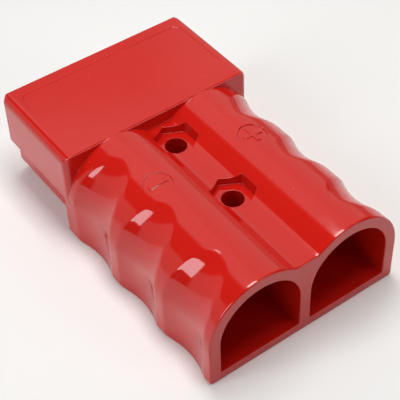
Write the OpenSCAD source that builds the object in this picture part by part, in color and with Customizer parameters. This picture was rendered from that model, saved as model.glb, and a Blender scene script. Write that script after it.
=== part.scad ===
// Genderless two-pole power connector.
// One moulded housing carries two cable barrels side by side, a square hood over the
// mating end and a tongue under the hood. Each pole holds a crimp contact and a leaf spring.
// X runs across the width, +Y toward the mating end, Z up. The underside rests on Z = 0.
// A second, identical connector turned over about X mates with this one: the hood of each
// slides over the tongue of the other, so both are sized from the one split plane.

/* [Overall] */
// Length from the cable face to the mating face
body_l = 112; // [106:1:135]
// Width across the hood
body_w = 70; // [66:1:84]
// Height over the hood and the two barrels
body_h = 34; // [32:0.5:40]

/* [Barrels] */
// How far the barrels stand in from the hood on each side
side_step = 0.2; // [0.1:0.1:0.5]
// Wall of the barrels round the cable entries
wall_t = 4; // [3:0.1:4.8]
// Floor under the cable entries
floor_t = 3.3; // [2.6:0.1:4]
// Wall between the two poles
divider_t = 4; // [3:0.1:5]
// Depth of the flat channel below the barrels' crowns
channel_d = 4.5; // [3.5:0.1:6]
// Hollow radius where the channel runs up into the barrels
channel_r = 5; // [2:0.5:6]
// Wall between the cable chambers and the mating cavity
web_t = 3.7; // [3.2:0.1:4.2]
// Radius along the housing's lower side edges
low_edge_r = 1.2; // [0.6:0.1:2]

/* [Finger grips] */
// Scallops along each side
grip_count = 3; // [1:1:3]
// Distance from one scallop to the next
grip_pitch = 24; // [21:0.5:24.5]
// Distance from the cable face to the middle of the first scallop
grip_first = 13; // [12:0.5:14]
// Depth of a scallop at the side of the barrel
grip_depth = 2.1; // [1:0.1:2.4]
// Radius of a scallop along the barrel
grip_r = 24; // [20:1:28]
// How far the scallop's turning centre stands in from the barrel's, which makes it fade upward
grip_shift = 2.6; // [2.2:0.2:5]

/* [Hood] */
// Length of the hood
hood_l = 38.8; // [36:0.2:42]
// Roof thickness of the hood
roof_t = 3.7; // [3:0.1:4.2]
// Side wall thickness of the hood
hood_side_t = 2.6; // [2:0.1:3.6]
// Distance from the hood's rear face to the mating cavity
hood_back_t = 3.4; // [2.4:0.1:4]
// Radius of the front corners in plan
front_corner_r = 2; // [1:0.5:6]
// Radius of the rear corners in plan
rear_corner_r = 2; // [1:0.5:2.6]
// Radius along the top side edges
top_edge_r = 3; // [1.5:0.5:3.5]

/* [Mating] */
// Height of the split plane on which the two contacts meet
split_z = 15.5; // [15:0.1:17]
// Sliding clearance between tongue and hood
mate_gap = 0.3; // [0.2:0.05:0.5]
// How far the tongue stops short of the mating face
tongue_short = 0.4; // [0.3:0.1:2]
// Step from the housing's underside up to the tongue's
tongue_step = 1; // [0.5:0.1:1.5]
// Radius along the tongue's lower side edges
tongue_r = 5; // [2:0.5:6]
// Wall along the tongue's sides
tongue_wall_t = 3; // [2.6:0.1:4]
// Wall across the tongue's front
tongue_front_t = 3.3; // [2.4:0.1:3.6]
// Wall between the two poles on the tongue
barrier_t = 5; // [4:0.2:6]
// How far the tongue's front wall lies below the contact faces
face_drop = 1.5; // [1:0.1:2]

/* [Mounting holes] */
// Diameter of the two through holes
hole_d = 7.1; // [6:0.1:7.6]
// Distance between the two holes
hole_pitch = 29.4; // [28:0.1:31]
// Distance from the cable face to the nearer hole
hole_first = 34.8; // [33:0.1:36]
// Width across the flats of the hexagonal pockets
hex_af = 12.6; // [11:0.1:13]
// Depth of the hexagonal pockets
hex_depth = 2.5; // [1.5:0.1:2.6]
// Diameter of the bosses round the holes
boss_d = 11.6; // [10.6:0.1:12]

/* [Contacts] */
// Outside diameter of the crimp barrel
crimp_d = 18.5; // [16:0.1:18.6]
// Diameter of the wire bore
wire_d = 14.2; // [12:0.1:14.6]
// Depth of the wire bore
wire_depth = 27; // [20:1:28]
// Length of the crimp barrel
crimp_l = 30; // [26:1:32]
// Distance from the cable face to the end of the crimp barrel
crimp_inset = 27; // [26:1:34]
// Width of the blade
blade_w = 20; // [16:0.5:20.2]
// Thickness of the blade
blade_t = 4.8; // [4:0.1:5]
// Inside radius of the hooked tip
hook_r = 1; // [0.5:0.1:2]
// How far the hooked tip reaches below the blade
hook_drop = 3.2; // [2:0.1:3.6]
// Gap between the hooked tip and the tongue's front wall
hook_gap = 0.6; // [0.3:0.1:1]
// Width of the two saddles under the crimp barrel
saddle_w = 14; // [10:0.5:15]
// Least height of a saddle under the crimp barrel
saddle_h = 1; // [0.6:0.1:1.6]
// Thickness of a saddle, and of a guide rib beside the blade
rib_t = 2.4; // [2:0.1:3]

/* [Springs] */
// Thickness of the leaf spring
spring_t = 0.8; // [0.6:0.1:1]
// Width of the leaf spring
spring_w = 12; // [8:0.5:14]
// Distance between the two spring seats
spring_span = 28; // [24:1:30]
// Distance from the rear wall of the mating cavity to the middle of the spring
spring_set = 11.8; // [11:0.2:12.4]
// Length of each foot of the spring
foot_l = 3.6; // [3:0.1:4]
// Height of the spring seats above the floor
seat_h = 2.2; // [1.6:0.1:2.6]
// How much wider a seat is than the spring, on each side
seat_margin = 2; // [1:0.1:2.4]
// Height of the stop behind each foot, above its seat
stop_h = 1.2; // [0.9:0.1:1.6]
// Thickness of the stop
stop_t = 1.5; // [1:0.1:1.8]

/* [Clearances] */
// Clearance round the blade in its slot
slot_gap = 0.4; // [0.2:0.05:0.5]
// Gap between the crimp barrel and its saddles
saddle_gap = 0.15; // [0.05:0.05:0.3]
// Gap between the spring and what it lies against
spring_gap = 0.1; // [0.05:0.05:0.2]
// Gap between the end of a foot and its stop
foot_gap = 0.2; // [0.1:0.05:0.4]

/* [Hidden] */

y_back = -body_l / 2;
y_front = body_l / 2;
half_w = body_w / 2;
arch_r = (body_w - 2 * side_step - 2 * wall_t - divider_t) / 4;
barrel_r = arch_r + wall_t;
barrel_x = divider_t / 2 + arch_r;
barrel_z = body_h - barrel_r;
hood_y = y_front - hood_l;
cavity_y = hood_y + hood_back_t;
chamber_y = cavity_y - web_t;
cavity_half = half_w - hood_side_t;
tongue_half = cavity_half - mate_gap;
tongue_y = y_front - tongue_short;
tongue_top = split_z - mate_gap / 2;
roof_z = body_h - roof_t;
hole_y = y_back + hole_first;
channel_z = body_h - channel_d;
pocket_z = channel_z - hex_depth;
trough_in = barrier_t / 2;
trough_out = tongue_half - tongue_wall_t;
blade_z = split_z - blade_t;
crimp_y = y_back + crimp_inset;
crimp_z = max(barrel_z, floor_t + saddle_h + saddle_gap + crimp_d / 2);
front_y = tongue_y - tongue_front_t;
hook_y = front_y - hook_gap;
slot_half = blade_w / 2 + slot_gap;
spring_y = cavity_y + spring_set;
seat_z = floor_t + seat_h;
spring_top = blade_z - spring_gap;
spring_low = seat_z + spring_gap;
spring_rise = spring_top - spring_t - spring_low;
spring_r = (spring_span * spring_span / 4 + spring_rise * spring_rise) / (2 * spring_rise);
sink = 0.5;
far = 200;

$fn = 64;

color("firebrick")
housing();
color("silver")
contact(1);  // positive_contact
color("silver")
contact(-1);  // negative_contact
color("lightsteelblue")
leaf_spring(1);  // positive_leaf_spring
color("lightsteelblue")
leaf_spring(-1);  // negative_leaf_spring

// Sweeps a flat X-Z outline along Y, from y0 to y1.
module along_y(y0, y1) {
    translate([0, y1, 0])
    rotate([90, 0, 0])
    linear_extrude(height = y1 - y0)
    children();
}

// Sweeps a flat Y-Z outline along X, centred on x0.
module along_x(x0, width) {
    translate([x0 - width / 2, 0, 0])
    rotate([90, 0, 90])
    linear_extrude(height = width)
    children();
}

// Rectangle from [x0, y0] to [x1, y1].
module area(x0, y0, x1, y1) {
    translate([x0, y0])
    square([x1 - x0, y1 - y0]);
}

// Outline with straight sides from z0 up to the barrel's centre and a half-round top. Its
// lower corners may be rounded by edge_r.
module round_topped(r, z0, edge_r = 0) {
    area(-r, z0 + edge_r, r, barrel_z);
    if (edge_r > 0) {
        area(edge_r - r, z0, r - edge_r, barrel_z);
        for (s = [-1, 1])
        translate([s * (r - edge_r), z0 + edge_r])
        circle(r = edge_r);
    }
    intersection() {
        translate([0, barrel_z])
        circle(r = r);
        area(-r, barrel_z - 0.5, r, body_h + 1);
    }
}

// The housing is one moulding: everything is joined first, then the bores are opened.
module housing() {
    difference() {
        union() {
            difference() {
                shell();
                for (s = [-1, 1]) chamber(s);
                for (s = [-1, 1]) trough(s);
            }
            bosses();
            for (s = [-1, 1]) saddles(s);
            for (s = [-1, 1]) spring_seats(s);
            for (s = [-1, 1]) blade_guides(s);
        }
        mounting_holes();
    }
}

// Outer form: the scalloped barrels, the hood over the mating end and the tongue under it.
module shell() {
    difference() {
        along_y(y_back, cavity_y) barrel_outline();
        for (s = [-1, 1]) finger_grips(s);
    }
    hood();
    tongue();
}

// Two round-topped barrels with straight sides, and the flat channel between them.
module barrel_outline() {
    for (s = [-1, 1])
    translate([s * barrel_x, 0])
    round_topped(barrel_r, 0, low_edge_r);
    area(-barrel_x, 0, barrel_x, channel_z);
    for (s = [-1, 1]) channel_hollow(s);
}

// Hollow fillet between the channel and one barrel: the area between the two and the
// hollow's centre, less the hollow's own circle, which bites a hair into the barrel.
module channel_hollow(s) {
    reach = barrel_r + channel_r - 0.01;
    rise = channel_z + channel_r - barrel_z;
    run = sqrt(reach * reach - rise * rise);
    x = s * (barrel_x - run);
    share = (barrel_r - sink) / reach;
    difference() {
        polygon([[x, channel_z + channel_r], [x, channel_z - 1], [s * barrel_x, channel_z - 1],
                 [s * (barrel_x - run * share), barrel_z + rise * share]]);
        translate([x, channel_z + channel_r])
        circle(r = channel_r);
    }
}

// One side's finger scallops. Below the barrel's centre each is a plain upright hollow.
// Above it the same hollow turns about a centre set in from the barrel's, so it follows
// the round of the barrel and runs out just below the crown.
module finger_grips(s) {
    turn_x = barrel_x - grip_shift;
    turn_r = half_w - side_step - grip_depth - turn_x;
    for (i = [0 : grip_count - 1])
    translate([s * turn_x, y_back + grip_first + i * grip_pitch, barrel_z])
    mirror([s < 0 ? 1 : 0, 0, 0]) {
        translate([turn_r + grip_r, 0, -barrel_z - 1])
        cylinder(r = grip_r, h = barrel_z + 1, $fn = 96);
        rotate([90, 0, 0])
        rotate_extrude(angle = 90, $fn = 96)
        translate([turn_r + grip_r, 0])
        circle(r = grip_r, $fn = 96);
    }
}

// Square hood: a roof and two side walls, closed at the rear, open in front and below.
module hood() {
    difference() {
        intersection() {
            translate([0, 0, split_z])
            linear_extrude(height = body_h - split_z)
            hood_plan();
            along_y(hood_y, y_front) hood_outline();
        }
        along_y(cavity_y, y_front + 1)
        area(-cavity_half, 0, cavity_half, roof_z);
    }
}

// Plan of the hood with its four rounded corners.
module hood_plan() {
    fr = front_corner_r;
    rr = rear_corner_r;
    area(-half_w, hood_y + rr, half_w, y_front - fr);
    area(-half_w + fr, y_front - fr, half_w - fr, y_front);
    area(-half_w + rr, hood_y, half_w - rr, hood_y + rr);
    for (s = [-1, 1]) {
        translate([s * (half_w - fr), y_front - fr])
        circle(r = fr);
        translate([s * (half_w - rr), hood_y + rr])
        circle(r = rr);
    }
}

// Front outline of the hood with its rounded top side edges.
module hood_outline() {
    area(-half_w, 0, half_w, body_h - top_edge_r);
    area(-half_w + top_edge_r, 0, half_w - top_edge_r, body_h);
    for (s = [-1, 1])
    translate([s * (half_w - top_edge_r), body_h - top_edge_r])
    circle(r = top_edge_r);
}

// Tongue under the hood, on which the contacts lie. The other connector's hood covers it.
module tongue() {
    along_y(cavity_y - 1, tongue_y) {
        area(-tongue_half, tongue_step + tongue_r, tongue_half, tongue_top);
        area(-tongue_half + tongue_r, tongue_step, tongue_half - tongue_r, tongue_top);
        for (s = [-1, 1])
        translate([s * (tongue_half - tongue_r), tongue_step + tongue_r])
        circle(r = tongue_r);
    }
}

// D-shaped cable chamber of one barrel, and the slot that lets the blade through.
module chamber(s) {
    along_y(y_back - 1, chamber_y)
    translate([s * barrel_x, 0])
    round_topped(arch_r, floor_t);
    along_y(chamber_y - 1, cavity_y + 1)
    translate([s * barrel_x, 0])
    area(-slot_half, floor_t, slot_half, split_z + slot_gap);
}

// Open trough in the tongue round one blade and its spring.
module trough(s) {
    mirror([s < 0 ? 1 : 0, 0, 0])
    translate([trough_in, cavity_y, floor_t])
    cube([trough_out - trough_in, front_y - cavity_y, split_z - floor_t + 1]);
    along_y(front_y - 1, tongue_y + 1)
    area(s * barrel_x - slot_half, split_z - face_drop, s * barrel_x + slot_half, split_z + 1);
}

// Bosses that carry the mounting holes down between the two chambers.
module bosses() {
    for (i = [0, 1])
    translate([0, hole_y + i * hole_pitch, 0])
    cylinder(d = boss_d, h = pocket_z);
}

// Through holes with a hexagonal pocket at the top of each.
module mounting_holes() {
    for (i = [0, 1])
    translate([0, hole_y + i * hole_pitch, 0]) {
        translate([0, 0, -1])
        cylinder(d = hole_d, h = body_h + 2);
        translate([0, 0, pocket_z])
        rotate([0, 0, 30])
        cylinder(d = hex_af / cos(30), h = body_h, $fn = 6);
    }
}

// Two saddles on the chamber floor that hold the crimp barrel up on the pole's axis.
module saddles(s) {
    difference() {
        for (y = [crimp_y + crimp_l / 10, crimp_y + 0.64 * crimp_l])
        translate([s * barrel_x - saddle_w / 2, y, floor_t - sink])
        cube([saddle_w, rib_t, crimp_z - floor_t - crimp_d / 4]);
        along_y(y_back, chamber_y)
        translate([s * barrel_x, crimp_z])
        circle(d = crimp_d + 2 * saddle_gap);
    }
}

// Two raised seats under the ends of a leaf spring, each with a stop behind the foot.
module spring_seats(s) {
    seat_w = spring_w + 2 * seat_margin;
    seat_lead = 0.4;
    for (e = [-1, 1])
    translate([s * barrel_x, spring_y, 0])
    mirror([0, e < 0 ? 1 : 0, 0]) {
        translate([-seat_w / 2, spring_span / 2 - seat_lead, floor_t - sink])
        cube([seat_w, seat_lead + foot_l + foot_gap + stop_t, seat_h + sink]);
        translate([-seat_w / 2, spring_span / 2 + foot_l + foot_gap, floor_t - sink])
        cube([seat_w, stop_t, seat_h + sink + stop_h]);
    }
}

// Guide ribs that stand out from the centre barrier to the edge of the blade.
module blade_guides(s) {
    trough_l = front_y - cavity_y;
    for (y = [cavity_y + trough_l / 4, cavity_y + 0.7 * trough_l])
    mirror([s < 0 ? 1 : 0, 0, 0])
    translate([trough_in - sink, y, floor_t - sink])
    cube([barrel_x - slot_half - trough_in + sink, rib_t, tongue_top - floor_t + sink]);
}

// One contact: crimp barrel, sloped shoulder, flat blade and a hooked tip, all one piece.
module contact(s) {
    translate([s * barrel_x, 0, 0])
    difference() {
        union() {
            along_y(crimp_y, crimp_y + crimp_l)
            translate([0, crimp_z])
            circle(d = crimp_d);
            shoulder();
            blade();
        }
        along_y(crimp_y - 1, crimp_y + wire_depth)
        translate([0, crimp_z])
        circle(d = wire_d);
    }
}

// Shoulder between barrel and blade: the barrel's round carried on under two slopes, a
// short one up to the blade's underside and a long one down to its contact face.
module shoulder() {
    y0 = crimp_y + crimp_l - sink;
    low = crimp_d / 4;
    high = crimp_d / 2;
    intersection() {
        along_y(y0, y0 + high)
        translate([0, crimp_z])
        circle(d = crimp_d);
        along_x(0, crimp_d)
        polygon([[y0, 0], [y0 + low, blade_z], [y0 + high, blade_z],
                 [y0 + high, split_z], [y0, crimp_z + high]]);
    }
}

// Flat blade whose top face is the contact face, with its tip bent down.
module blade() {
    bend_y = hook_y - hook_r - blade_t;
    along_x(0, blade_w) {
        area(crimp_y + crimp_l - sink, blade_z, bend_y, split_z);
        translate([bend_y, blade_z - hook_r])
        intersection() {
            difference() {
                circle(r = hook_r + blade_t);
                circle(r = hook_r);
            }
            area(0, 0, far, far);
        }
        area(hook_y - blade_t, blade_z - hook_drop, hook_y, blade_z - hook_r);
    }
}

// Bowed leaf spring: its crown presses the blade up, its two feet lie on the seats.
module leaf_spring(s) {
    along_x(s * barrel_x, spring_w)
    translate([spring_y, 0]) {
        intersection() {
            translate([0, spring_top - spring_t - spring_r])
            difference() {
                circle(r = spring_r + spring_t, $fn = 128);
                circle(r = spring_r, $fn = 128);
            }
            area(-spring_span, spring_low, spring_span, spring_top + 1);
        }
        area(spring_span / 2 - 0.6, spring_low, spring_span / 2 + foot_l, spring_low + spring_t);
        area(-spring_span / 2 - foot_l, spring_low, 0.6 - spring_span / 2, spring_low + spring_t);
    }
}
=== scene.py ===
# %% [markdown]
# # A genderless two-pole power connector
# A lesson in building one moulded part with its two contacts and two leaf springs. The
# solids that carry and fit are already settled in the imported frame, and this file gives
# them their looks: soft edges, finger grips, engraved marks and real finishes. All lengths
# are written in millimetres and turned to metres as each mesh is made.

# %% Load the frame
import math

import bmesh
import bpy
from mathutils import Matrix, Vector


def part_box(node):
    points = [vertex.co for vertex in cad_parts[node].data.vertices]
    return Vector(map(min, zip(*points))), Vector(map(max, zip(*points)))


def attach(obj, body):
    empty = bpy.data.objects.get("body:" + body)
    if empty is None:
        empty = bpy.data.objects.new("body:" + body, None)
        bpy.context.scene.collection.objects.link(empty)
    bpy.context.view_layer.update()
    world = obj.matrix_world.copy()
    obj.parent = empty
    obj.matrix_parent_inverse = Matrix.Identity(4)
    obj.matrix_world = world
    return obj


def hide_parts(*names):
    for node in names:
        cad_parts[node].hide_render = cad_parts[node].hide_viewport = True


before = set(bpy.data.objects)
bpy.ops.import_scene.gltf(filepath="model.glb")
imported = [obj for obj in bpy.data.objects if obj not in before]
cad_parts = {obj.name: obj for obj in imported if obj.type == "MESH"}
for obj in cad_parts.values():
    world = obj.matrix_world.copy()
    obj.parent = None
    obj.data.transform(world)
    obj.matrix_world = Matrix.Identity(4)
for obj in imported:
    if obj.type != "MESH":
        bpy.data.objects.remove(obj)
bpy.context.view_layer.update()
MM = 0.001
print("frame nodes:", sorted(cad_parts))

# %% [markdown]
# ## Sizes
# The housing's own box gives the overall width, length and height, so the looks can't
# drift from the solids. The other sizes are the ones that the moulding is drawn to. They
# follow each other in the same way as on the drawing: the walls set the arches, the arches
# set the barrels, and the split plane sets the hood and the tongue.

# %% Overall sizes from the frame
low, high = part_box("housing")
body_w = (high.x - low.x) / MM
body_h = (high.z - low.z) / MM
y_back = low.y / MM
y_front = high.y / MM
half_w = body_w / 2
print(f"housing {body_w:.1f} x {y_front - y_back:.1f} x {body_h:.1f} mm")

# %% Barrel sizes
side_step = 0.2
wall_t = 4.0
floor_t = 3.3
divider_t = 4.0
channel_d = 4.5
channel_r = 5.0
low_edge_r = 1.2
arch_r = (body_w - 2 * side_step - 2 * wall_t - divider_t) / 4
barrel_r = arch_r + wall_t
barrel_x = divider_t / 2 + arch_r
barrel_z = body_h - barrel_r
channel_z = body_h - channel_d
print(f"two barrels of radius {barrel_r:.1f} mm, {2 * barrel_x:.1f} mm apart")

# %% Hood, tongue and cavity sizes
hood_l = 38.8
roof_t = 3.7
hood_side_t = 2.6
hood_back_t = 3.4
web_t = 3.7
front_corner_r = 2.0
rear_corner_r = 2.0
top_edge_r = 3.0
split_z = 15.5
mate_gap = 0.3
tongue_step = 1.0
tongue_r = 5.0
tongue_wall_t = 3.0
tongue_front_t = 3.3
barrier_t = 5.0
face_drop = 1.5
slot_gap = 0.4
hood_y = y_front - hood_l
cavity_y = hood_y + hood_back_t
chamber_y = cavity_y - web_t
cavity_half = half_w - hood_side_t
tongue_half = cavity_half - mate_gap
tongue_y = y_front - 0.4
tongue_top = split_z - mate_gap / 2
front_y = tongue_y - tongue_front_t
roof_z = body_h - roof_t
blade_w = 20.0
slot_half = blade_w / 2 + slot_gap
print(f"hood from y = {hood_y:.1f} mm, mating cavity from y = {cavity_y:.1f} mm")

# %% [markdown]
# ## Making solids from rings
# A moulding is mostly a section carried along a line. One helper joins a list of rings,
# each a closed list of points, into a closed solid. It could be drawn with curves or
# extrusions instead, but rings let the section change along the way, so a soft edge is
# only a few rings that close in on each other.

# %% Mesh helpers
past = 1.0  # how far a cutter runs past the face that it opens
nudge = 0.01  # what keeps two faces from lying on each other


def mesh_object(name, points, faces):
    """A new object whose mesh has these points, in millimetres, with faces outward."""
    mesh = bpy.data.meshes.new(name)
    mesh.from_pydata([Vector(p) * MM for p in points], [], faces)
    work = bmesh.new()
    work.from_mesh(mesh)
    bmesh.ops.recalc_face_normals(work, faces=work.faces)
    work.to_mesh(mesh)
    work.free()
    mesh.shade_smooth()
    made = bpy.data.objects.new(name, mesh)
    bpy.context.scene.collection.objects.link(made)
    return made


def loft(name, rings):
    """A closed solid through rings that all have the same number of points."""
    count = len(rings[0])
    points = [p for ring in rings for p in ring]
    faces = [list(range(count)), [len(points) - count + i for i in range(count)]]
    for r in range(len(rings) - 1):
        for i in range(count):
            j = (i + 1) % count
            a, b = r * count, (r + 1) * count
            faces.append([a + i, a + j, b + j, b + i])
    return mesh_object(name, points, faces)


def arc(cx, cy, rx, ry, start, end, steps):
    """Points round an ellipse's centre from one angle to another, in degrees."""
    turn = [math.radians(start + (end - start) * k / steps) for k in range(steps + 1)]
    return [(cx + rx * math.cos(t), cy + ry * math.sin(t)) for t in turn]


def round_over(r, steps=4):
    """How far along and how far in each step of a quarter-round edge lies."""
    turns = [math.radians(90 * k / steps) for k in range(steps + 1)]
    return [(r * (1 - math.cos(t)), r * (1 - math.sin(t))) for t in turns]


def sweep_y(name, outline, y0, y1):
    """An X-Z outline carried straight along Y."""
    return loft(name, [[(x, y, z) for x, z in outline] for y in (y0, y1)])


def block(name, x0, y0, z0, x1, y1, z1):
    """A plain block between two corners."""
    return sweep_y(name, [(x0, z0), (x1, z0), (x1, z1), (x0, z1)], y0, y1)


def rod(name, x, y, r, z0, z1, sides=96):
    """An upright round or many-sided rod."""
    ring = arc(x, y, r, r, 90, 450, sides)[:-1]
    return loft(name, [[(px, py, z) for px, py in ring] for z in (z0, z1)])


def settle(piece):
    """Turns what the modifiers make into the piece's own plain mesh."""
    graph = bpy.context.evaluated_depsgraph_get()
    made = bpy.data.meshes.new_from_object(piece.evaluated_get(graph))
    piece.modifiers.clear()
    piece.data = made
    return piece


def combine(piece, tool, operation):
    """Joins a tool to the piece or cuts it away, then throws the tool away."""
    step = piece.modifiers.new(operation.title(), "BOOLEAN")
    step.operation = operation
    step.solver = "MANIFOLD"
    step.object = tool
    settle(piece)
    bpy.data.objects.remove(tool)
    return piece


print("helpers ready")

# %% [markdown]
# ## The two barrels
# The rear half of the housing is two round-topped barrels with a flat channel between
# them. The mould's pieces meet along the barrels' widest line, which leaves a fine parting
# line there. The outline is written once as a function of an inset, so that the rings at
# the cable face can close in by the radius of its soft outer edge.

# %% Outline of both barrels
channel_rise = channel_z + channel_r - barrel_z
channel_run = math.sqrt((barrel_r + channel_r) ** 2 - channel_rise**2)
channel_angle = math.degrees(math.atan2(channel_rise, channel_run))
seam_half = 0.12
side_parts = 6


def barrel_outline(inset):
    """The closed X-Z outline of both barrels, drawn in by an inset all round."""
    r = barrel_r - inset
    side = barrel_x + r
    corner = low_edge_r - inset
    seam = min(seam_half, inset + seam_half)
    right = [(0.0, inset)]
    right += arc(side - corner, inset + corner, corner, corner, -90, 0, steps=5)
    side_l = barrel_z - low_edge_r
    right += [(side, low_edge_r + k * side_l / side_parts) for k in range(1, side_parts)]
    right += [(side, split_z - seam), (side - seam, split_z), (side, split_z + seam)]
    right += arc(barrel_x, barrel_z, r, r, 1, 180 - channel_angle, steps=72)
    hollow_x = barrel_x - channel_run
    hollow_z = channel_z + channel_r
    hollow = channel_r + inset
    right += arc(hollow_x, hollow_z, hollow, hollow, -channel_angle, -90, steps=10)[1:]
    left = [(-x, z) for x, z in reversed(right[1:])]
    return right + [(0.0, channel_z - inset)] + left


print("barrel outline has", len(barrel_outline(0)), "points")

# %% Barrels as rings along Y
cable_edge_r = 0.5
ledge_r = 0.65
station = 0.5


def barrel_rings():
    """Rings from the soft edge at the cable face to the wall of the mating cavity."""
    rings = []
    for along, inset in round_over(cable_edge_r):
        rings.append([(x, y_back + along, z) for x, z in barrel_outline(inset)])
    length = cavity_y - nudge - y_back - cable_edge_r
    steps = round(length / station)
    for k in range(1, steps + 1):
        y = y_back + cable_edge_r + length * k / steps
        # Under the hood the crowns lie a hair low, so that they don't share its top face.
        top = body_h - (2 * nudge if y > hood_y + ledge_r * 0.8 else 0.0)
        rings.append([(x, y, min(z, top)) for x, z in barrel_outline(0)])
    return rings


housing = loft("housing_moulding", barrel_rings())
print("barrels:", len(housing.data.polygons), "faces")

# %% [markdown]
# ## Finger grips
# Three shallow scallops run up each side of the housing, so that fingers can pull the
# connector out. Each is the hollow that a large wheel leaves: upright below the barrel's
# centre, and turned about a line inside the barrel above it, so that it fades out just
# under the crown. Because the shape follows a rule, a Geometry Nodes tree moves the
# barrels' points. It has the scallops' sizes as inputs, and a softness that rounds
# the ridges between them as the mould's own edges are rounded. Its sums are written as a
# table, one Math node to a row: the result's name, the operation, and what goes in.

# %% A helper that adds a node
def add_node(tree, kind, links=(), **settings):
    """Adds a node, sets its settings and default inputs, and links its inputs."""
    node = tree.nodes.new(kind)
    for key, value in settings.items():
        setattr(node, key, value)
    for slot, source in dict(links).items():
        if isinstance(source, bpy.types.NodeSocket):
            tree.links.new(source, node.inputs[slot])
        else:
            node.inputs[slot].default_value = source
    return node


# %% The sums of the finger grips
grip_sums = (
    # Distance along Y to the nearest scallop's middle.
    ("From first", "SUBTRACT", "Y", "First"),
    ("Place in row", "DIVIDE", "From first", "Pitch"),
    ("Whole place", "ROUND", "Place in row"),
    ("Not too low", "MAXIMUM", "Whole place", 0.0),
    ("Last place", "SUBTRACT", "Count", 1.0),
    ("Nearest", "MINIMUM", "Not too low", "Last place"),
    ("Middle", "MULTIPLY_ADD", "Nearest", "Pitch", "First"),
    ("Off", "SUBTRACT", "Y", "Middle"),
    # Distance from the turning line to the scallop's surface at this Y.
    ("Off squared", "MULTIPLY", "Off", "Off"),
    ("Wheel squared", "MULTIPLY", "Scallop radius", "Scallop radius"),
    ("Difference", "SUBTRACT", "Wheel squared", "Off squared"),
    ("Under the root", "MAXIMUM", "Difference", 0.0),
    ("Root", "SQRT", "Under the root"),
    ("Standing out", "SUBTRACT", "Scallop radius", "Root"),
    ("Limit", "ADD", "Turning radius", "Standing out"),
    # The point's own distance from the turning line.
    ("Distance from middle", "ABSOLUTE", "X"),
    ("Out", "SUBTRACT", "Distance from middle", "Turning X"),
    ("Above", "SUBTRACT", "Z", "Turning Z"),
    ("Rise", "MAXIMUM", "Above", 0.0),
    ("Out squared", "MULTIPLY", "Out", "Out"),
    ("Own squared", "MULTIPLY_ADD", "Rise", "Rise", "Out squared"),
    ("Own", "SQRT", "Own squared"),
    # The share of that distance which is left once the scallop is cut.
    ("Eased", "SMOOTH_MIN", "Own", "Limit", "Softness"),
    ("Own or 1 mm", "MAXIMUM", "Own", 1 * MM),
    ("Kept share", "DIVIDE", "Eased", "Own or 1 mm"),
    ("Share", "MINIMUM", "Kept share", 1.0),
    # The moved point, on the same side of the housing.
    ("Kept out", "MULTIPLY", "Out", "Share"),
    ("New out", "ADD", "Turning X", "Kept out"),
    ("Which side", "SIGN", "X"),
    ("New X", "MULTIPLY", "New out", "Which side"),
    ("Lost share", "SUBTRACT", "Share", 1.0),
    ("Lift", "MULTIPLY", "Rise", "Lost share"),
    ("New Z", "ADD", "Z", "Lift"),
)
print(len(grip_sums), "sums move each point")


# %% The finger grip tree
def finger_grip_tree():
    """Moves points outside each scallop's surface onto it."""
    tree = bpy.data.node_groups.new("Finger grips", "GeometryNodeTree")
    face = tree.interface
    face.new_socket("Geometry", in_out="INPUT", socket_type="NodeSocketGeometry")
    face.new_socket("Count", in_out="INPUT", socket_type="NodeSocketInt")
    sizes = ("Pitch", "First", "Scallop radius", "Turning radius", "Turning X", "Turning Z")
    for name in (*sizes, "Softness"):
        face.new_socket(name, in_out="INPUT", socket_type="NodeSocketFloat")
    face.new_socket("Finish", in_out="INPUT", socket_type="NodeSocketMaterial")
    face.new_socket("Geometry", in_out="OUTPUT", socket_type="NodeSocketGeometry")
    given = add_node(tree, "NodeGroupInput").outputs
    place = add_node(tree, "GeometryNodeInputPosition").outputs[0]
    parts = add_node(tree, "ShaderNodeSeparateXYZ", {0: place}).outputs
    known = {name: given[name] for name in ("Count", *sizes, "Softness")}
    known.update(X=parts[0], Y=parts[1], Z=parts[2])
    for result, operation, *sources in grip_sums:
        links = {k: known.get(source, source) for k, source in enumerate(sources)}
        known[result] = add_node(tree, "ShaderNodeMath", links, operation=operation).outputs[0]
    links = {0: known["New X"], 1: known["Y"], 2: known["New Z"]}
    moved = add_node(tree, "ShaderNodeCombineXYZ", links).outputs[0]
    links = {0: known["Out"], 1: 0.0}
    outside = add_node(tree, "FunctionNodeCompare", links, operation="GREATER_THAN").outputs[0]
    shaped = add_node(
        tree,
        "GeometryNodeSetPosition",
        {"Geometry": given["Geometry"], "Selection": outside, "Position": moved},
    ).outputs[0]
    real = add_node(tree, "GeometryNodeRealizeInstances", {0: shaped}).outputs[0]
    finished = add_node(
        tree, "GeometryNodeSetMaterial", {"Geometry": real, "Material": given["Finish"]}
    ).outputs[0]
    add_node(tree, "NodeGroupOutput", {0: finished})
    return tree


def run_tree(piece, tree, inputs):
    """Runs a node tree on a piece with its named inputs, and keeps the plain mesh."""
    step = piece.modifiers.new(tree.name, "NODES")
    step.node_group = tree
    for item in tree.interface.items_tree:
        if item.item_type == "SOCKET" and item.in_out == "INPUT" and item.name in inputs:
            step[item.identifier] = inputs[item.name]
    return settle(piece)


print("finger grip tree ready")

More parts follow.
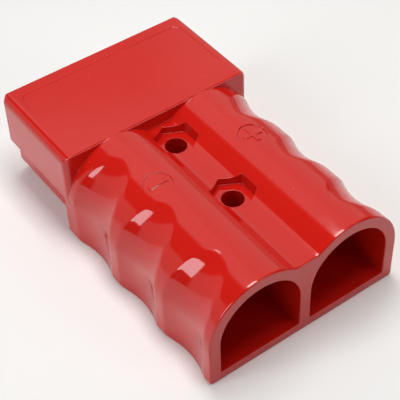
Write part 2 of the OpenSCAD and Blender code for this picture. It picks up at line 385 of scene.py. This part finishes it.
# %% Cut the finger grips
grip_count = 3
grip_pitch = 24.0
grip_first = 13.0
grip_depth = 2.1
grip_r = 24.0
grip_shift = 2.6
ridge_soft = 0.5
turn_x = barrel_x - grip_shift
red_plastic = bpy.data.materials.new("Glossy red polycarbonate, moulded")
run_tree(
    housing,
    finger_grip_tree(),
    {
        "Count": grip_count,
        "Pitch": grip_pitch * MM,
        "First": (y_back + grip_first) * MM,
        "Scallop radius": grip_r * MM,
        "Turning radius": (half_w - side_step - grip_depth - turn_x) * MM,
        "Turning X": turn_x * MM,
        "Turning Z": barrel_z * MM,
        "Softness": ridge_soft * MM,
        "Finish": red_plastic,
    },
)
housing.data.materials.clear()
print("grips cut, deepest", grip_depth, "mm")

# %% [markdown]
# ## The hood
# The front half is a square hood that slides over the other connector's tongue. Its edges
# have different radii: large along the sides, small at the rear ledge. A bevel tool would
# fight over the corners where they meet, so the hood is built up in level layers instead,
# and each layer's four sides stand in by what their own edge radius needs at that height.

# %% Hood in level layers
front_edge_r = 1.0
hood_low_r = 0.4
least_corner_r = 0.3


def edge_inset(z, r):
    """How far a side with an edge radius r stands in at height z."""
    over = z - (body_h - r)
    return r - math.sqrt(r * r - over * over) if over > 0 else 0.0


def hood_ring(z, extra):
    """One level layer of the hood: four sides and four elliptic corners."""
    side = half_w - edge_inset(z, top_edge_r) - extra
    rear = hood_y + edge_inset(z, ledge_r) + extra
    front = y_front - edge_inset(z, front_edge_r) - extra

    def radii(r, y_inset):
        across = r - edge_inset(z, top_edge_r)
        return max(across, least_corner_r), max(r - y_inset, least_corner_r)

    fx, fy = radii(front_corner_r, edge_inset(z, front_edge_r))
    rx, ry = radii(rear_corner_r, edge_inset(z, ledge_r))
    ring = arc(side - fx, front - fy, fx, fy, 0, 90, steps=12)
    ring += arc(fx - side, front - fy, fx, fy, 90, 180, steps=12)
    ring += arc(rx - side, rear + ry, rx, ry, 180, 270, steps=8)
    ring += arc(side - rx, rear + ry, rx, ry, 270, 360, steps=8)
    return [(x, y, z) for x, y in ring]


def hood_layers():
    """Layers from the hood's lower edge to its flat top."""
    rings = []
    for rise, inset in round_over(hood_low_r, steps=3):
        rings.append(hood_ring(split_z + rise, inset))
    for _, drop in round_over(top_edge_r, steps=15):
        rings.append(hood_ring(body_h - drop, 0.0))
    return rings


hood = loft("hood", hood_layers())
combine(housing, hood, "UNION")
low_corner = (-cavity_half, cavity_y, split_z - past)
high_corner = (cavity_half, y_front + past, roof_z)
combine(housing, block("cavity", *low_corner, *high_corner), "DIFFERENCE")
print("hood and mating cavity:", len(housing.data.polygons), "faces")

# %% [markdown]
# ## The tongue
# Under the hood lies the tongue, which carries the two contacts and goes into the other
# connector's hood. Its lower corners are well rounded, because they lead the two halves
# together. It is lofted along Y with a soft front edge, then opened into two troughs.

# %% Tongue and its troughs
tongue_edge_r = 0.5
tongue_top_r = 0.3


def tongue_ring(y, inset):
    """The tongue's section at y, drawn in by an inset."""
    side = tongue_half - inset
    r = tongue_r - inset
    right = arc(side - r, tongue_step + inset + r, r, r, -90, 0, steps=14)
    top_r = tongue_top_r
    right += arc(side - top_r, tongue_top - inset - top_r, top_r, top_r, 0, 90, steps=3)
    left = [(-x, z) for x, z in reversed(right)]
    return [(x, y, z) for x, z in right + left]


tongue_rings = [tongue_ring(cavity_y - past, 0)]
for along, inset in reversed(round_over(tongue_edge_r)):
    tongue_rings.append(tongue_ring(tongue_y - along, inset))
combine(housing, loft("tongue", tongue_rings), "UNION")
trough_out = tongue_half - tongue_wall_t
for side in (-1, 1):
    x0, x1 = sorted((side * barrier_t / 2, side * trough_out))
    low_corner = (x0, cavity_y + nudge, floor_t + 2 * nudge)
    trough = block("trough", *low_corner, x1, front_y, split_z + past)
    combine(housing, trough, "DIFFERENCE")
    middle = side * barrel_x
    notch = block(
        "notch",
        middle - slot_half,
        front_y - past,
        split_z - face_drop,
        middle + slot_half,
        tongue_y + past,
        split_z + past,
    )
    combine(housing, notch, "DIFFERENCE")
print("tongue with two troughs:", len(housing.data.polygons), "faces")

# %% [markdown]
# ## Cable chambers
# Each barrel is hollow, with a D-shaped chamber that takes the cable and the contact's
# crimp barrel. The mouth has a small round-over where the core of the mould met its face.
# The chamber is a loft that flares by that round-over at the mouth, and it is cut away.

# %% D-shaped chambers
mouth_r = 0.35
chamber_corner_r = 0.4


def chamber_outline(flare):
    """The D of one chamber, grown all round by the flare."""
    r = arch_r + flare
    floor_z = floor_t - flare
    corner = chamber_corner_r
    right = arc(r - corner, floor_z + corner, corner, corner, -90, 0, steps=3)
    right += arc(0, barrel_z, r, r, 0, 90, steps=40)
    left = [(-x, z) for x, z in reversed(right[:-1])]
    return right + left


def chamber(side):
    """One chamber, from outside the cable face to its end wall."""
    rings = [[(side * barrel_x + x, y_back - past, z) for x, z in chamber_outline(mouth_r)]]
    for along, flare in round_over(mouth_r):
        y = y_back + along
        rings.append([(side * barrel_x + x, y, z) for x, z in chamber_outline(flare)])
    rings.append([(side * barrel_x + x, chamber_y, z) for x, z in chamber_outline(0)])
    return loft("chamber", rings)


for side in (-1, 1):
    combine(housing, chamber(side), "DIFFERENCE")
    slot = block(
        "slot",
        side * barrel_x - slot_half,
        chamber_y - past,
        floor_t + nudge,
        side * barrel_x + slot_half,
        cavity_y + past,
        split_z + slot_gap,
    )
    combine(housing, slot, "DIFFERENCE")
print("chambers opened:", len(housing.data.polygons), "faces")

# %% [markdown]
# ## Ribs, seats and bosses inside
# Inside are the features that hold the pieces: two saddles under each crimp barrel, two
# seats under each leaf spring, guide ribs beside the blades, and a boss round each
# mounting hole. They are plain moulded ribs, so each is a short outline carried along Y.

# %% Saddles, seats, guides and bosses
sink = 0.5
crimp_d = 18.5
crimp_l = 30.0
crimp_y = y_back + 27.0
saddle_gap = 0.15
saddle_w = 14.0
saddle_places = (0.1, 0.64)  # shares of the crimp barrel's length
guide_places = (0.25, 0.7)  # shares of the trough's length
rib_t = 2.4
spring_w = 12.0
spring_half = 14.0
spring_y = cavity_y + 11.8
foot_l = 3.6
foot_gap = 0.2
seat_lead = 0.4
seat_half = spring_w / 2 + 2.0
seat_z = floor_t + 2.2
stop_t = 1.5
stop_h = 1.2
boss_r = 5.8
boss_drop = 0.05
hole_first = 34.8
hole_pitch = 29.4
hole_ys = [y_back + hole_first, y_back + hole_first + hole_pitch]
pocket_depth = 2.5
pocket_z = channel_z - pocket_depth


def saddle(side, y):
    """A rib whose top is hollowed to the crimp barrel's round."""
    r = crimp_d / 2 + saddle_gap
    reach = math.degrees(math.acos(saddle_w / 2 / r))
    hollow = arc(side * barrel_x, barrel_z, r, r, -reach, reach - 180, steps=16)
    x0, x1 = side * barrel_x - saddle_w / 2, side * barrel_x + saddle_w / 2
    foot = [(x0, floor_t - sink), (x1, floor_t - sink)]
    return sweep_y("saddle", foot + hollow, y, y + rib_t)


def inner_ribs():
    """Every rib, seat and boss that stands inside the housing."""
    ribs = []
    trough_l = front_y - cavity_y
    for side in (-1, 1):
        cx = side * barrel_x
        ribs += [saddle(side, crimp_y + share * crimp_l) for share in saddle_places]
        for end in (-1, 1):
            near = spring_y + end * (spring_half - seat_lead)
            stop = spring_y + end * (spring_half + foot_l + foot_gap)
            far = stop + end * stop_t
            y0, y1 = sorted((near, far))
            s0, s1 = sorted((stop, far - end * nudge))
            x0, x1 = cx - seat_half, cx + seat_half
            ribs.append(block("seat", x0, y0, floor_t - sink, x1, y1, seat_z))
            ribs.append(block("stop", x0, s0, floor_t, x1, s1, seat_z + stop_h))
        edge = cx - side * slot_half
        x0, x1 = sorted((side * (barrier_t / 2 - sink), edge))
        for share in guide_places:
            y = cavity_y + share * trough_l
            top = tongue_top - nudge
            ribs.append(block("guide", x0, y, floor_t - sink, x1, y + rib_t, top))
    ribs += [rod("boss", 0, y, boss_r, sink, pocket_z - boss_drop) for y in hole_ys]
    return ribs


ribs = inner_ribs()
for rib in ribs:
    combine(housing, rib, "UNION")
print(len(ribs), "ribs, seats and bosses added")

# %% [markdown]
# ## Mounting holes
# Two bolts go down through the channel. Each has a hexagonal pocket that keeps a nut or a
# bolt head from turning. The same cutter is used at every place, so a small Geometry Nodes
# tree sets copies of it in a row, with the number and the pitch as its inputs.

# %% Hole cutters in a row
def row_tree():
    """Sets copies of the incoming mesh in a row along Y."""
    tree = bpy.data.node_groups.new("Row along the channel", "GeometryNodeTree")
    face = tree.interface
    face.new_socket("Geometry", in_out="INPUT", socket_type="NodeSocketGeometry")
    face.new_socket("Count", in_out="INPUT", socket_type="NodeSocketInt")
    face.new_socket("Pitch", in_out="INPUT", socket_type="NodeSocketFloat")
    face.new_socket("First", in_out="INPUT", socket_type="NodeSocketFloat")
    face.new_socket("Finish", in_out="INPUT", socket_type="NodeSocketMaterial")
    face.new_socket("Geometry", in_out="OUTPUT", socket_type="NodeSocketGeometry")
    given = add_node(tree, "NodeGroupInput").outputs
    step = add_node(tree, "ShaderNodeCombineXYZ", {1: given["Pitch"]}).outputs[0]
    start = add_node(tree, "ShaderNodeCombineXYZ", {1: given["First"]}).outputs[0]
    line = add_node(
        tree,
        "GeometryNodeMeshLine",
        {"Count": given["Count"], "Start Location": start, "Offset": step},
        mode="OFFSET",
    ).outputs[0]
    copies = add_node(
        tree, "GeometryNodeInstanceOnPoints", {"Points": line, "Instance": given["Geometry"]}
    ).outputs[0]
    real = add_node(tree, "GeometryNodeRealizeInstances", {0: copies}).outputs[0]
    finished = add_node(
        tree, "GeometryNodeSetMaterial", {"Geometry": real, "Material": given["Finish"]}
    ).outputs[0]
    add_node(tree, "NodeGroupOutput", {0: finished})
    return tree


hole_d = 7.1
hex_af = 12.6
hex_r = hex_af / 2 / math.cos(math.radians(30))
pocket_past = 1.1
cutter = rod("hole", 0, 0, hole_d / 2, -past, body_h + past, sides=64)
pocket = rod("pocket", 0, 0, hex_r, pocket_z, body_h + pocket_past, sides=6)
combine(cutter, pocket, "UNION")
run_tree(
    cutter,
    row_tree(),
    {
        "Count": len(hole_ys),
        "Pitch": (hole_ys[1] - hole_ys[0]) * MM,
        "First": hole_ys[0] * MM,
        "Finish": red_plastic,
    },
)
combine(housing, cutter, "DIFFERENCE")
print("mounting holes at y =", [round(y, 1) for y in hole_ys], "mm")

# %% [markdown]
# ## Marks for the poles
# A minus and a plus tell the poles apart. Each is a shallow round recess in the crown of
# its barrel, with the sign left standing in it. The recess keeps the barrel's own round,
# so its cutter is an upright disc with the barrel's core and the sign's bars cut out of
# it. A bump map would be quicker, but its walls would be lost at a close look.

# %% Recessed marks
mark_x = 17.65
mark_y = -8.1
mark_r = 4.65
mark_depth = 0.25
bar_l = 6.6
bar_w = 1.4
core_half = 6.0
bar_low = 7.0
bar_high = 2.0


def mark_cutter(side):
    """The cutter of one recess: a disc down to the barrel's core, less the sign's bars."""
    cx = side * mark_x
    cutter = rod("mark", cx, mark_y, mark_r, body_h - core_half, body_h + past)
    core_r = barrel_r - mark_depth
    ring = arc(side * barrel_x, barrel_z, core_r, core_r, 0, 360, steps=180)[:-1]
    core = sweep_y("core", ring, mark_y - core_half, mark_y + core_half)
    combine(cutter, core, "DIFFERENCE")
    bars = [(bar_l, bar_w)] if side < 0 else [(bar_l, bar_w), (bar_w, bar_l)]
    for w, l in bars:
        low_corner = (cx - w / 2, mark_y - l / 2, body_h - bar_low)
        high_corner = (cx + w / 2, mark_y + l / 2, body_h + bar_high)
        combine(cutter, block("bar", *low_corner, *high_corner), "DIFFERENCE")
    return cutter


for side in (-1, 1):
    combine(housing, mark_cutter(side), "DIFFERENCE")
print("minus on the left barrel, plus on the right")

# %% [markdown]
# A fine witness line runs round the hood's top, where an insert was set in the mould.

# %% Thin grooves along a path
def tube(name, path, r, sides=8):
    """A thin tube along points in millimetres, for cutting a groove."""
    rings = []
    for k, point in enumerate(path):
        ahead = path[min(k + 1, len(path) - 1)]
        behind = path[max(k - 1, 0)]
        along = (Vector(ahead) - Vector(behind)).normalized()
        across = along.cross(Vector((0, 0, 1))).normalized()
        up = across.cross(along)
        turn = [2 * math.pi * s / sides for s in range(sides)]
        rings.append([Vector(point) + r * (across * math.cos(t) + up * math.sin(t)) for t in turn])
    return loft(name, rings)


# %% Witness line on the hood
line_x = 31.0
line_y = 50.9
line_r = 3.0
line_right_ys = (27.0, 38.0)
line_left_y = 44.0
groove_r = 0.2
groove_lift = 0.05
path = [(line_x, y) for y in line_right_ys]
path += arc(line_x - line_r, line_y - line_r, line_r, line_r, 0, 90, steps=10)
path += arc(line_r - line_x, line_y - line_r, line_r, line_r, 90, 180, steps=10)
path += [(-line_x, line_left_y)]
witness = tube("witness", [(x, y, body_h + groove_lift) for x, y in path], groove_r)
combine(housing, witness, "DIFFERENCE")
print("housing now has", len(housing.data.polygons), "faces")

# %% [markdown]
# ## Clean shading
# The cuts leave flat faces beside fine curved ones. Edges sharper than a set angle are
# kept crisp, and Weighted Normal lets the big flat faces win, so the flats shine flat.

# %% Shading by angle
housing_crease = 32
metal_crease = 35
flat_weight = 90


def clean_shading(piece, angle):
    """Merges doubles, marks sharp edges by angle, and weights the normals by area."""
    work = bmesh.new()
    work.from_mesh(piece.data)
    bmesh.ops.remove_doubles(work, verts=work.verts, dist=0.001 * MM)
    bmesh.ops.recalc_face_normals(work, faces=work.faces)
    work.to_mesh(piece.data)
    work.free()
    piece.data.shade_smooth()
    piece.data.set_sharp_from_angle(angle=math.radians(angle))
    step = piece.modifiers.new("Weighted normals", "WEIGHTED_NORMAL")
    step.keep_sharp = True
    step.weight = flat_weight
    return settle(piece)


clean_shading(housing, housing_crease)
tris = sum(len(p.vertices) - 2 for p in housing.data.polygons)
print("housing:", tris, "triangles")

# %% [markdown]
# ## Contacts and leaf springs
# The contacts are bent from thick copper bar and silver-plated, and the springs are bent
# steel strip. Their solids already have the true shape. A copy of each is merged into
# whole faces and gets a fine bevel, because no stamped or sawn edge is truly sharp.

# %% Softened copies of the metal pieces
bar_edge_r = 0.35
strip_edge_r = 0.08
weld = 0.002
flat_angle = 0.4
bevel_angle = 40


def softened(name, node, width, segments=2):
    """A merged copy of a CAD piece with a small round on its edges."""
    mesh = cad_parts[node].data.copy()
    mesh.materials.clear()
    work = bmesh.new()
    work.from_mesh(mesh)
    bmesh.ops.remove_doubles(work, verts=work.verts, dist=weld * MM)
    limit = math.radians(flat_angle)
    bmesh.ops.dissolve_limit(work, angle_limit=limit, verts=work.verts, edges=work.edges)
    work.to_mesh(mesh)
    work.free()
    mesh.name = name
    piece = bpy.data.objects.new(name, mesh)
    bpy.context.scene.collection.objects.link(piece)
    step = piece.modifiers.new("Bevel", "BEVEL")
    step.width = width * MM
    step.segments = segments
    step.limit_method = "ANGLE"
    step.angle_limit = math.radians(bevel_angle)
    settle(piece)
    clean_shading(piece, metal_crease)
    return piece


metal = {}
for pole in ("positive", "negative"):
    metal[pole] = (
        softened(f"{pole}_plated_contact", f"{pole}_contact", bar_edge_r),
        softened(f"{pole}_steel_spring", f"{pole}_leaf_spring", strip_edge_r),
    )
    print(pole, "contact and spring:", [len(p.data.polygons) for p in metal[pole]], "faces")

# %% [markdown]
# ## Finishes
# Three materials cover the whole connector. Each starts from what the real one is and how
# its surface was made. One function turns a written sRGB colour into the linear one that
# the shader needs, and the pattern scales are worked out from real sizes.

# %% Colour and material helpers
def linear(colour):
    """A #RRGGBB colour as linear red, green, blue and alpha."""
    parts = [int(colour[k : k + 2], 16) / 255 for k in (1, 3, 5)]
    line = [c / 12.92 if c <= 0.04045 else ((c + 0.055) / 1.055) ** 2.4 for c in parts]
    return (*line, 1.0)


def per_mm(size):
    """Noise scale on Object coordinates, in metres, for a pattern of this size in mm."""
    return 1 / (size * MM)


def new_shader(material):
    """Clears a material and gives its tree, shader and Object coordinates."""
    material.use_nodes = True
    tree = material.node_tree
    tree.nodes.clear()
    shader = add_node(tree, "ShaderNodeBsdfPrincipled")
    add_node(tree, "ShaderNodeOutputMaterial", {"Surface": shader.outputs[0]})
    place = add_node(tree, "ShaderNodeTexCoord").outputs["Object"]
    return tree, shader, place


print("helpers ready, pigment red is", [round(c, 3) for c in linear("#CE1C14")])

# %% Red plastic
def make_red_plastic(material):
    """Polycarbonate moulded in a polished steel mould: deep even red with a wet gloss,
    the faintest sink and flow waviness, and tiny handling rubs in the gloss."""
    tree, shader, place = new_shader(material)
    shader.inputs["IOR"].default_value = 1.585
    # Pigment flow, which clouds the colour by a few percent over some 25 mm.
    flow = add_node(
        tree, "ShaderNodeTexNoise", {"Vector": place, "Scale": per_mm(25), "Detail": 3.0}
    ).outputs["Fac"]
    body_red = add_node(
        tree,
        "ShaderNodeMix",
        {0: flow, 6: linear("#CC1B13"), 7: linear("#D51E15")},
        data_type="RGBA",
    ).outputs[2]
    # Handling: pale nicks up to 0.35 mm across, one in each 3.5 mm cell that the skin cuts
    # through at its middle. A second noise leaves them only in patches.
    cells = add_node(
        tree, "ShaderNodeTexVoronoi", {"Vector": place, "Scale": per_mm(3.5)}, feature="F1"
    ).outputs
    keep = add_node(
        tree, "ShaderNodeTexNoise", {"Vector": place, "Scale": per_mm(5), "Detail": 1.0}
    ).outputs["Fac"]
    near = {"Value": cells["Distance"], "From Min": 0.05, "From Max": 0.02}
    few = {"Value": keep, "From Min": 0.54, "From Max": 0.60}
    nick = add_node(
        tree,
        "ShaderNodeMath",
        {
            0: add_node(tree, "ShaderNodeMapRange", near).outputs[0],
            1: add_node(tree, "ShaderNodeMapRange", few).outputs[0],
        },
        operation="MULTIPLY",
    ).outputs[0]
    colour = add_node(
        tree, "ShaderNodeMix", {0: nick, 6: body_red, 7: linear("#E9877C")}, data_type="RGBA"
    ).outputs[2]
    tree.links.new(colour, shader.inputs["Base Color"])
    # Gloss: a polished mould, slightly uneven over 6 mm.
    rub = add_node(
        tree, "ShaderNodeTexNoise", {"Vector": place, "Scale": per_mm(6), "Detail": 6.0}
    ).outputs["Fac"]
    limits = {"From Min": 0.3, "From Max": 0.7, "To Min": 0.05, "To Max": 0.09}
    gloss = add_node(tree, "ShaderNodeMapRange", {"Value": rub, **limits}).outputs[0]
    tree.links.new(gloss, shader.inputs["Roughness"])
    # Flow waviness: under a hundredth of a millimetre over 9 mm.
    wave = add_node(
        tree, "ShaderNodeTexNoise", {"Vector": place, "Scale": per_mm(9), "Detail": 1.0}
    ).outputs["Fac"]
    # The finest edges look rounded by a quarter of a millimetre.
    edge = add_node(tree, "ShaderNodeBevel", {"Radius": 0.25 * MM}, samples=6).outputs[0]
    bump = add_node(
        tree,
        "ShaderNodeBump",
        {"Height": wave, "Strength": 0.25, "Distance": 0.03 * MM, "Normal": edge},
    ).outputs[0]
    tree.links.new(bump, shader.inputs["Normal"])
    return material


make_red_plastic(red_plastic)
print("made", red_plastic.name)

# %% Silver-plated copper
def make_plated_copper():
    """Copper bar with a matt electroplated silver skin: white metal with a warm cast and
    a satin grain from the bath, a little duller in clouds where it has been handled."""
    material = bpy.data.materials.new("Silver-plated copper, satin")
    tree, shader, place = new_shader(material)
    shader.inputs["Metallic"].default_value = 1.0
    cloud = add_node(
        tree, "ShaderNodeTexNoise", {"Vector": place, "Scale": per_mm(12), "Detail": 4.0}
    ).outputs["Fac"]
    colour = add_node(
        tree,
        "ShaderNodeMix",
        {0: cloud, 6: linear("#E9E5DC"), 7: linear("#D6CFC0")},
        data_type="RGBA",
    ).outputs[2]
    tree.links.new(colour, shader.inputs["Base Color"])
    satin = add_node(
        tree, "ShaderNodeMapRange", {"Value": cloud, "To Min": 0.24, "To Max": 0.38}
    ).outputs[0]
    tree.links.new(satin, shader.inputs["Roughness"])
    grain = add_node(
        tree, "ShaderNodeTexNoise", {"Vector": place, "Scale": per_mm(0.5), "Detail": 3.0}
    ).outputs["Fac"]
    bump = add_node(
        tree, "ShaderNodeBump", {"Height": grain, "Strength": 0.3, "Distance": 0.02 * MM}
    ).outputs[0]
    tree.links.new(bump, shader.inputs["Normal"])
    return material


# %% Spring steel
def make_spring_steel():
    """Stainless strip, rolled bright: grey metal with fine rolling lines along it. Real
    lines are a few hundredths of a millimetre apart and are drawn ten times coarser."""
    material = bpy.data.materials.new("Stainless spring strip, rolled")
    tree, shader, place = new_shader(material)
    shader.inputs["Metallic"].default_value = 1.0
    shader.inputs["Base Color"].default_value = linear("#C9CACC")
    long_grain = add_node(
        tree, "ShaderNodeMapping", {"Vector": place, "Scale": (1.0, 0.03, 1.0)}
    ).outputs[0]
    lines = add_node(
        tree, "ShaderNodeTexNoise", {"Vector": long_grain, "Scale": per_mm(0.3), "Detail": 2.0}
    ).outputs["Fac"]
    polish = add_node(
        tree, "ShaderNodeMapRange", {"Value": lines, "To Min": 0.18, "To Max": 0.36}
    ).outputs[0]
    tree.links.new(polish, shader.inputs["Roughness"])
    bump = add_node(
        tree, "ShaderNodeBump", {"Height": lines, "Strength": 0.3, "Distance": 0.01 * MM}
    ).outputs[0]
    tree.links.new(bump, shader.inputs["Normal"])
    return material


plated_copper = make_plated_copper()
spring_steel = make_spring_steel()
print("made", plated_copper.name, "and", spring_steel.name)

# %% [markdown]
# ## Putting the pieces on the frame
# Each finished piece takes its material, stands for its solid in the frame, and rides on
# the one body, because nothing in this connector moves.

# %% Materials, replacements and bodies
def finish_piece(piece, material, node):
    """Gives a piece its only material and its place in the frame."""
    piece.data.materials.clear()
    piece.data.materials.append(material)
    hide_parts(node)
    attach(piece, "root")


finish_piece(housing, red_plastic, "housing")
for pole, (contact, spring) in metal.items():
    finish_piece(contact, plated_copper, f"{pole}_contact")
    finish_piece(spring, spring_steel, f"{pole}_leaf_spring")
print("five pieces ride on the root body")

# %% [markdown]
# ## Floor and light
# The connector lies on pale paper. Glossy plastic shows its surroundings, so the light is
# a plain studio: one softbox overhead, one tall slanting window on the left, and a grey
# room whose dark areas give the deep red stripes. The paper is matt white, and shows a
# little brighter to the camera and in reflections, as a paper sweep does.

# %% Floor
def make_paper():
    """Matt white paper, lifted to white where the camera or a reflection sees it."""
    material = bpy.data.materials.new("White paper sweep")
    material.use_nodes = True
    tree = material.node_tree
    tree.nodes.clear()
    matt = add_node(tree, "ShaderNodeBsdfDiffuse", {"Color": linear("#F2F2F2")}).outputs[0]
    rays = add_node(tree, "ShaderNodeLightPath").outputs
    seen = rays["Is Camera Ray"]
    for kind in ("Is Glossy Ray", "Is Transmission Ray"):
        links = {0: seen, 1: rays[kind]}
        seen = add_node(tree, "ShaderNodeMath", links, operation="MAXIMUM").outputs[0]
    # The softbox lights the paper less and less with distance, and the lift makes up for it.
    place = add_node(tree, "ShaderNodeTexCoord").outputs["Object"]
    away = add_node(tree, "ShaderNodeVectorMath", {0: place}, operation="LENGTH").outputs["Value"]
    fade = {"Value": away, "From Min": 0.1, "From Max": 1.0, "To Min": 0.1, "To Max": 0.62}
    rise = add_node(tree, "ShaderNodeMapRange", fade, interpolation_type="SMOOTHSTEP").outputs[0]
    lift = add_node(tree, "ShaderNodeMath", {0: seen, 1: rise}, operation="MULTIPLY").outputs[0]
    glow = add_node(tree, "ShaderNodeEmission", {"Strength": lift}).outputs[0]
    both = add_node(tree, "ShaderNodeAddShader", {0: matt, 1: glow}).outputs[0]
    add_node(tree, "ShaderNodeOutputMaterial", {"Surface": both})
    return material


floor_half = 4000
floor_drop = 0.02
corners = [(-1, -1), (1, -1), (1, 1), (-1, 1)]
floor = mesh_object(
    "floor", [(x * floor_half, y * floor_half, -floor_drop) for x, y in corners], [[0, 1, 2, 3]]
)
floor.data.materials.append(make_paper())
print("floor laid")

# %% Glowing cards near the object
def glowing_card(name, points, colour, radiance):
    """A flat, evenly glowing card with its four corners in mm, unseen by the camera."""
    material = bpy.data.materials.new(name)
    material.use_nodes = True
    tree = material.node_tree
    tree.nodes.clear()
    settings = {"Color": linear(colour), "Strength": radiance}
    skin = add_node(tree, "ShaderNodeEmission", settings).outputs[0]
    add_node(tree, "ShaderNodeOutputMaterial", {"Surface": skin})
    made = mesh_object(name, points, [[0, 1, 2, 3]])
    made.data.materials.append(material)
    made.visible_camera = False
    return made


overhead = [(-40, -160, 450), (-40, 174, 450), (100, 174, 450), (100, -160, 450)]
window = [(-520, -45, 215), (-520, 120, 190), (-520, 240, 620), (-520, 90, 640)]
overhead_glow = 9.3
window_glow = 5.5
glowing_card("overhead_softbox", overhead, "#FFFEFB", overhead_glow)
glowing_card("leaning_window", window, "#F4F9FF", window_glow)
print("two glowing cards hung")

# %% The room round the object
def light_room(colour, base, patches):
    """A room of soft-edged areas. Azimuth runs from +Y toward +X, and the angles are in
    degrees: left, right, low edge, high edge, then brightness and softness of the edge."""
    world = bpy.data.worlds.new("Studio room")
    world.use_nodes = True
    tree = world.node_tree
    tree.nodes.clear()
    look = add_node(tree, "ShaderNodeTexCoord").outputs["Generated"]
    x, y, z = add_node(tree, "ShaderNodeSeparateXYZ", {0: look}).outputs
    azimuth = add_node(tree, "ShaderNodeMath", {0: x, 1: y}, operation="ARCTAN2").outputs[0]
    azimuth = add_node(tree, "ShaderNodeMath", {0: azimuth}, operation="DEGREES").outputs[0]
    elevation = add_node(tree, "ShaderNodeMath", {0: z}, operation="ARCSINE").outputs[0]
    elevation = add_node(tree, "ShaderNodeMath", {0: elevation}, operation="DEGREES").outputs[0]
    level = base
    for left, right, low_edge, high_edge, brightness, softness in patches:
        shares = []
        for angle, start, end in ((azimuth, left, right), (elevation, low_edge, high_edge)):
            inside = []
            for edge, half in ((start, softness / 2), (end, -softness / 2)):
                links = {"Value": angle, "From Min": edge - half, "From Max": edge + half}
                ramp = add_node(
                    tree, "ShaderNodeMapRange", links, interpolation_type="SMOOTHSTEP"
                )
                inside.append(ramp.outputs[0])
            links = dict(enumerate(inside))
            both = add_node(tree, "ShaderNodeMath", links, operation="MULTIPLY")
            shares.append(both.outputs[0])
        links = dict(enumerate(shares))
        share = add_node(tree, "ShaderNodeMath", links, operation="MULTIPLY").outputs[0]
        links = {0: share, 2: level, 3: brightness}
        level = add_node(tree, "ShaderNodeMix", links, data_type="FLOAT").outputs[0]
    settings = {"Color": linear(colour), "Strength": level}
    glow = add_node(tree, "ShaderNodeBackground", settings).outputs[0]
    add_node(tree, "ShaderNodeOutputWorld", {"Surface": glow})
    bpy.context.scene.world = world


room_base = 0.04
room_patches = [
    (-112, -15, -95, 33, 0.5, 6),  # left wall
    (-112, -90, 5, 50, 1.2, 6),  # bright end of the left wall
    (-15, 60, -95, 95, 0.42, 8),  # wall past the mating end
    (-10, 50, 41, 95, 0.78, 3),  # upper part of that wall
    (33, 62, 14, 52, 0.66, 5),  # its right-hand corner
    (42, 110, -95, 13, 0.28, 8),  # low right wall
    (-64, -13, 34, 56, 0.04, 7),  # dark area high on the left
    (-88, -71, -6, 20, 0.03, 3),  # dark area low on the left
    (139, 161, 10, 32, 2.5, 4),  # small window behind the cable end
]
light_room("#FFFCF6", room_base, room_patches)
bpy.context.scene.view_settings.view_transform = "Standard"
print("room lit")

# %% [markdown]
# ## Camera
# The camera looks down over the cable end from the left, with a long lens close by, so
# the near barrel is a little larger than the far one.

# %% Set the camera
def set_camera(azimuth, elevation, roll, distance, target, lens):
    """A camera at a distance in mm from its target, turned about its own axis by roll."""
    a, e, turn = (math.radians(v) for v in (azimuth, elevation, roll))
    back = Vector((math.sin(a) * math.cos(e), -math.cos(a) * math.cos(e), math.sin(e)))
    right = (-back).cross(Vector((0, 0, 1))).normalized()
    up = back.cross(right)
    across = math.cos(turn) * right + math.sin(turn) * up
    over = math.cos(turn) * up - math.sin(turn) * right
    lens_data = bpy.data.cameras.new("camera")
    lens_data.sensor_width = 36
    lens_data.lens = lens
    lens_data.clip_start = 0.01
    lens_data.clip_end = 50
    camera = bpy.data.objects.new("camera", lens_data)
    bpy.context.scene.collection.objects.link(camera)
    place = (Vector(target) + back * distance) * MM
    turned = Matrix((across, over, back)).transposed().to_4x4()
    camera.matrix_world = Matrix.Translation(place) @ turned
    bpy.context.scene.camera = camera
    return camera


set_camera(
    azimuth=-34.64,
    elevation=45.60,
    roll=-2.17,
    distance=364.0,
    target=(-1.45, -5.98, 15.0),
    lens=104.5,
)
print("camera set")
